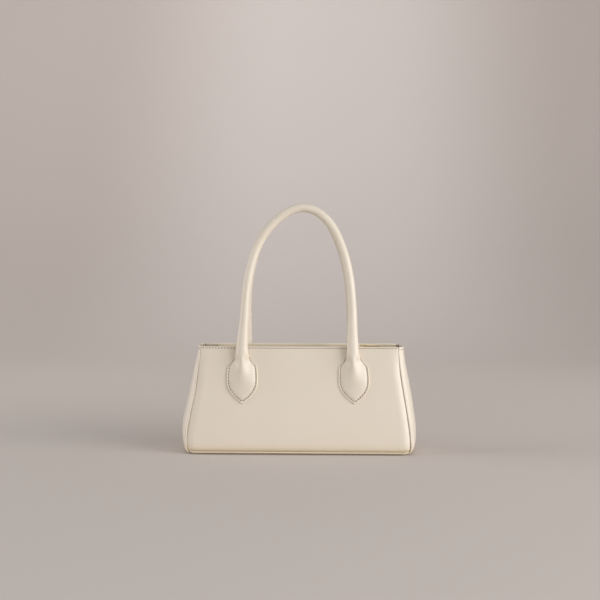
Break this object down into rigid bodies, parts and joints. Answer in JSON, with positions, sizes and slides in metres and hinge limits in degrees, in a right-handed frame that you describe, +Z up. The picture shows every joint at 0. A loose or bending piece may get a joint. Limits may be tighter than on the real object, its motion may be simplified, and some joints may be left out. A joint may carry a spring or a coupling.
{
  "type": "mini top-handle bag",
  "caption": "Small structured leather bag with leaning flat panels, soft swelling gussets, recessed top zip and two stiff rolled arch handles on leaf-shaped tabs.",
  "frame": {"origin": "centre of the box around the bag, on the surface that it stands on", "axes": "+X along the length to the right as seen from the front, +Y from the front to the back, +Z up"},
  "size_m": [0.2538, 0.078, 0.2701],
  "materials": {
    "cream_leather": "satin smooth",
    "lining_fabric": "matte woven",
    "stiff_board": "matte",
    "core_cord": "matte twisted cord",
    "zip_metal": "polished pale gold"
  },
  "bodies": {
    "bag": {"front_panel": "cream_leather", "back_panel": "cream_leather", "left_gusset": "cream_leather", "right_gusset": "cream_leather", "base_panel": "cream_leather", "front_board": "stiff_board", "back_board": "stiff_board", "base_board": "stiff_board", "front_facing": "cream_leather", "back_facing": "cream_leather", "lining_front": "lining_fabric", "lining_back": "lining_fabric", "lining_left": "lining_fabric", "lining_right": "lining_fabric", "lining_base": "lining_fabric", "zip_strip_front": "cream_leather", "zip_strip_back": "cream_leather", "zip_tape_front": "lining_fabric", "zip_tape_back": "lining_fabric", "zip_teeth_front": "zip_metal", "zip_teeth_back": "zip_metal", "zip_top_stops": "zip_metal", "zip_bottom_stop": "zip_metal", "front_left_tab": "cream_leather", "front_right_tab": "cream_leather", "back_left_tab": "cream_leather", "back_right_tab": "cream_leather", "front_left_flange": "cream_leather", "front_right_flange": "cream_leather", "back_left_flange": "cream_leather", "back_right_flange": "cream_leather"},
    "front_handle": {"front_handle_cover": "cream_leather", "front_handle_core": "core_cord"},
    "back_handle": {"back_handle_cover": "cream_leather", "back_handle_core": "core_cord"},
    "slider": {"slider_body": "zip_metal"},
    "puller": {"puller": "zip_metal"}
  },
  "joints": [
    {"name": "front_handle_swing", "type": "hinge", "parent": "bag", "child": "front_handle", "pos_m": [0, -0.02556, 0.11389], "axis": [1, 0, 0], "range_deg": [0, 90]},
    {"name": "back_handle_swing", "type": "hinge", "parent": "bag", "child": "back_handle", "pos_m": [0, 0.02556, 0.11389], "axis": [-1, 0, 0], "range_deg": [0, 90]},
    {"name": "zip_slide", "type": "slide", "parent": "bag", "child": "slider", "axis": [-1, 0, 0], "range_m": [0, 0.1458]},
    {"name": "puller_swing", "type": "hinge", "parent": "slider", "child": "puller", "pos_m": [0.069, 0, 0.11355], "axis": [0, -1, 0], "range_deg": [0, 180]}
  ]
}
